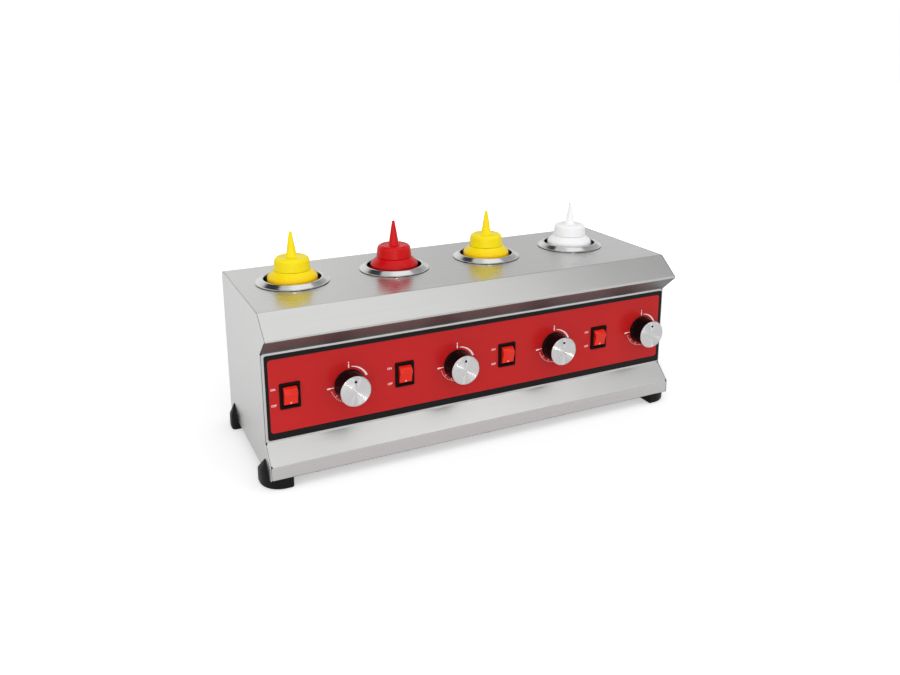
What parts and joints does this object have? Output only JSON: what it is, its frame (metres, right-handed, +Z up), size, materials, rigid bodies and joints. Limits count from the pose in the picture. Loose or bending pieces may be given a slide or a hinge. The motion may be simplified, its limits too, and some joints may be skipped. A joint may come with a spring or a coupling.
{
  "type": "sauce bain-marie",
  "caption": "Countertop sauce warmer: folded steel cabinet with heated round wells, each holding a lift-out squeeze bottle and having its own rotary thermostat and rocker switch.",
  "frame": {"origin": "on the surface it stands on, under the middle of the whole object's box", "axes": "+Z up, +X to the viewer's right along the row of wells, the control panel faces -Y"},
  "size_m": [0.616, 0.2524, 0.2886],
  "materials": {
    "steel_sheet": "brushed",
    "well_steel": "satin",
    "heater_steel": "mica band heater sheath",
    "screw_steel": "plain",
    "spindle_steel": "turned",
    "film_red": "printed film, satin",
    "face_aluminium": "spun",
    "knob_black": "moulded",
    "switch_black": "moulded",
    "rocker_red": "translucent",
    "thermostat_body": "moulded",
    "terminal_body": "moulded",
    "loom_sleeve": "sleeved",
    "gland_black": "moulded",
    "earth_brass": "plain",
    "foot_rubber": "moulded",
    "bottle_yellow": "moulded",
    "bottle_red": "moulded",
    "bottle_white": "moulded"
  },
  "bodies": {
    "cabinet": {"top_front_cover": "steel_sheet", "left_side_panel": "steel_sheet", "right_side_panel": "steel_sheet", "back_panel": "steel_sheet", "base_plate": "steel_sheet", "control_overlay": "film_red", "front_left_foot": "foot_rubber", "front_right_foot": "foot_rubber", "back_left_foot": "foot_rubber", "back_right_foot": "foot_rubber", "cord_gland": "gland_black", "gland_locknut": "gland_black", "earth_stud": "earth_brass", "terminal_block": "terminal_body", "wiring_harness": "loom_sleeve", "base_screws": "screw_steel", "back_screws": "screw_steel", "foot_screws": "screw_steel", "well_1": "well_steel", "band_heater_1": "heater_steel", "thermostat_1": "thermostat_body", "switch_housing_1": "switch_black", "well_2": "well_steel", "band_heater_2": "heater_steel", "thermostat_2": "thermostat_body", "switch_housing_2": "switch_black", "well_3": "well_steel", "band_heater_3": "heater_steel", "thermostat_3": "thermostat_body", "switch_housing_3": "switch_black", "well_4": "well_steel", "band_heater_4": "heater_steel", "thermostat_4": "thermostat_body", "switch_housing_4": "switch_black"},
    "knob_1_body": {"knob_1": "knob_black", "knob_face_1": "face_aluminium", "spindle_1": "spindle_steel"},
    "rocker_1_body": {"rocker_1": "rocker_red"},
    "bottle_1_body": {"bottle_1": "bottle_yellow"},
    "nozzle_cap_1_body": {"nozzle_cap_1": "bottle_yellow"},
    "knob_2_body": {"knob_2": "knob_black", "knob_face_2": "face_aluminium", "spindle_2": "spindle_steel"},
    "rocker_2_body": {"rocker_2": "rocker_red"},
    "bottle_2_body": {"bottle_2": "bottle_red"},
    "nozzle_cap_2_body": {"nozzle_cap_2": "bottle_red"},
    "knob_3_body": {"knob_3": "knob_black", "knob_face_3": "face_aluminium", "spindle_3": "spindle_steel"},
    "rocker_3_body": {"rocker_3": "rocker_red"},
    "bottle_3_body": {"bottle_3": "bottle_yellow"},
    "nozzle_cap_3_body": {"nozzle_cap_3": "bottle_yellow"},
    "knob_4_body": {"knob_4": "knob_black", "knob_face_4": "face_aluminium", "spindle_4": "spindle_steel"},
    "rocker_4_body": {"rocker_4": "rocker_red"},
    "bottle_4_body": {"bottle_4": "bottle_white"},
    "nozzle_cap_4_body": {"nozzle_cap_4": "bottle_white"}
  },
  "joints": [
    {"name": "knob_1_turn", "type": "hinge", "parent": "cabinet", "child": "knob_1_body", "pos_m": [-0.19, -0.1132, 0.1135], "axis": [0, 1, 0], "range_deg": [0, 270]},
    {"name": "rocker_1_tilt", "type": "hinge", "parent": "cabinet", "child": "rocker_1_body", "pos_m": [-0.266, -0.0961, 0.1135], "axis": [-1, 0, 0], "range_deg": [0, 28]},
    {"name": "bottle_1_lift", "type": "slide", "parent": "cabinet", "child": "bottle_1_body", "axis": [0, 0, 1], "range_m": [0, 0.16]},
    {"name": "nozzle_cap_1_lift", "type": "slide", "parent": "bottle_1_body", "child": "nozzle_cap_1_body", "axis": [0, 0, 1], "range_m": [0, 0.03]},
    {"name": "knob_2_turn", "type": "hinge", "parent": "cabinet", "child": "knob_2_body", "pos_m": [-0.039, -0.1132, 0.1135], "axis": [0, 1, 0], "range_deg": [0, 270]},
    {"name": "rocker_2_tilt", "type": "hinge", "parent": "cabinet", "child": "rocker_2_body", "pos_m": [-0.115, -0.0961, 0.1135], "axis": [-1, 0, 0], "range_deg": [0, 28]},
    {"name": "bottle_2_lift", "type": "slide", "parent": "cabinet", "child": "bottle_2_body", "axis": [0, 0, 1], "range_m": [0, 0.16]},
    {"name": "nozzle_cap_2_lift", "type": "slide", "parent": "bottle_2_body", "child": "nozzle_cap_2_body", "axis": [0, 0, 1], "range_m": [0, 0.03]},
    {"name": "knob_3_turn", "type": "hinge", "parent": "cabinet", "child": "knob_3_body", "pos_m": [0.112, -0.1132, 0.1135], "axis": [0, 1, 0], "range_deg": [0, 270]},
    {"name": "rocker_3_tilt", "type": "hinge", "parent": "cabinet", "child": "rocker_3_body", "pos_m": [0.036, -0.0961, 0.1135], "axis": [-1, 0, 0], "range_deg": [0, 28]},
    {"name": "bottle_3_lift", "type": "slide", "parent": "cabinet", "child": "bottle_3_body", "axis": [0, 0, 1], "range_m": [0, 0.16]},
    {"name": "nozzle_cap_3_lift", "type": "slide", "parent": "bottle_3_body", "child": "nozzle_cap_3_body", "axis": [0, 0, 1], "range_m": [0, 0.03]},
    {"name": "knob_4_turn", "type": "hinge", "parent": "cabinet", "child": "knob_4_body", "pos_m": [0.263, -0.1132, 0.1135], "axis": [0, 1, 0], "range_deg": [0, 270]},
    {"name": "rocker_4_tilt", "type": "hinge", "parent": "cabinet", "child": "rocker_4_body", "pos_m": [0.187, -0.0961, 0.1135], "axis": [-1, 0, 0], "range_deg": [0, 28]},
    {"name": "bottle_4_lift", "type": "slide", "parent": "cabinet", "child": "bottle_4_body", "axis": [0, 0, 1], "range_m": [0, 0.16]},
    {"name": "nozzle_cap_4_lift", "type": "slide", "parent": "bottle_4_body", "child": "nozzle_cap_4_body", "axis": [0, 0, 1], "range_m": [0, 0.03]}
  ]
}
